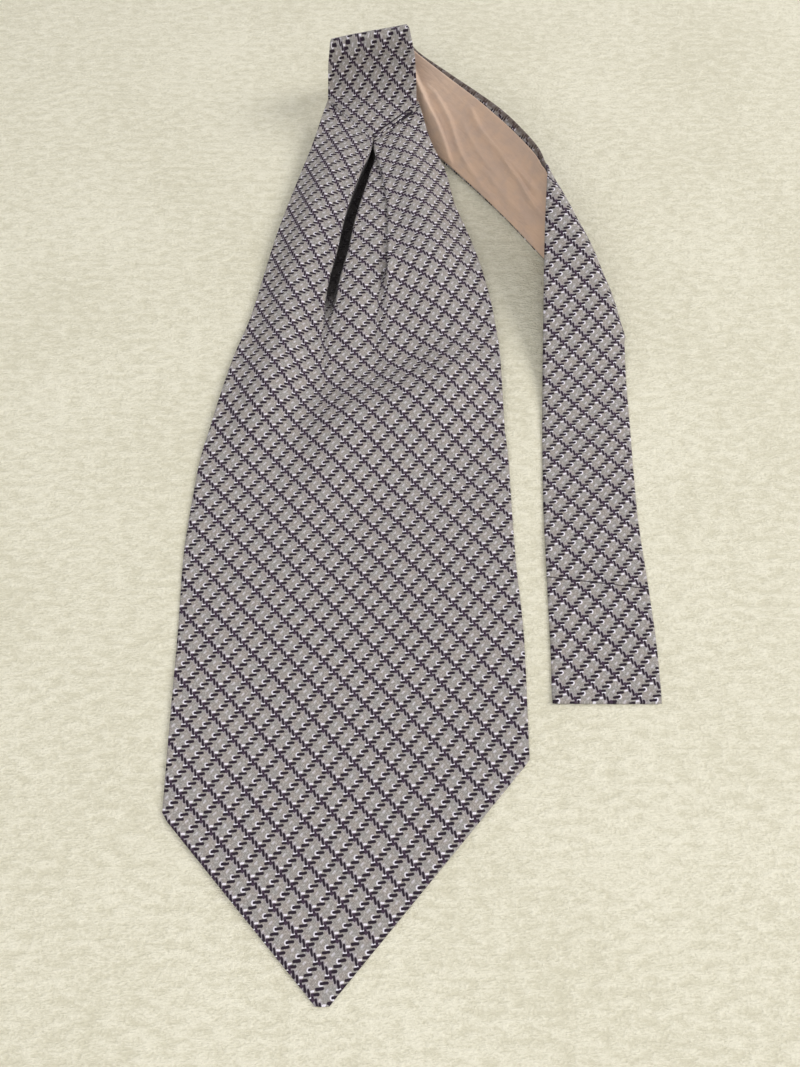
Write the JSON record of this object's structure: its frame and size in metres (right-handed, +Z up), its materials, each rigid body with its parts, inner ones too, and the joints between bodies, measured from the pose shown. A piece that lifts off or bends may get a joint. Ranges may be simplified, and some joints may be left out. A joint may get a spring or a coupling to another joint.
{
  "type": "ascot tie",
  "caption": "Ready-tied ascot laid flat: a wide pointed blade with one released pleat, and a neckband that loops over it and folds down beside it.",
  "frame": {"origin": "middle of the tie's outline in plan, on the surface that it lies on", "axes": "+Z up from the surface, +Y along the blade from its point towards the neckband, +X to the right as the tie is seen from above with its point towards the viewer"},
  "size_m": [0.2042, 0.4714, 0.0518],
  "materials": {
    "check_cloth": "woven check on a grey-taupe ground, matt with a slight sheen",
    "lining_cloth": "plain peach lining, smooth with a soft sheen"
  },
  "bodies": {
    "root": {"blade": "check_cloth", "neckband_tab": "check_cloth", "neckband_back": "check_cloth", "neckband_end": "check_cloth", "neckband_lining": "lining_cloth"}
  },
  "joints": []
}
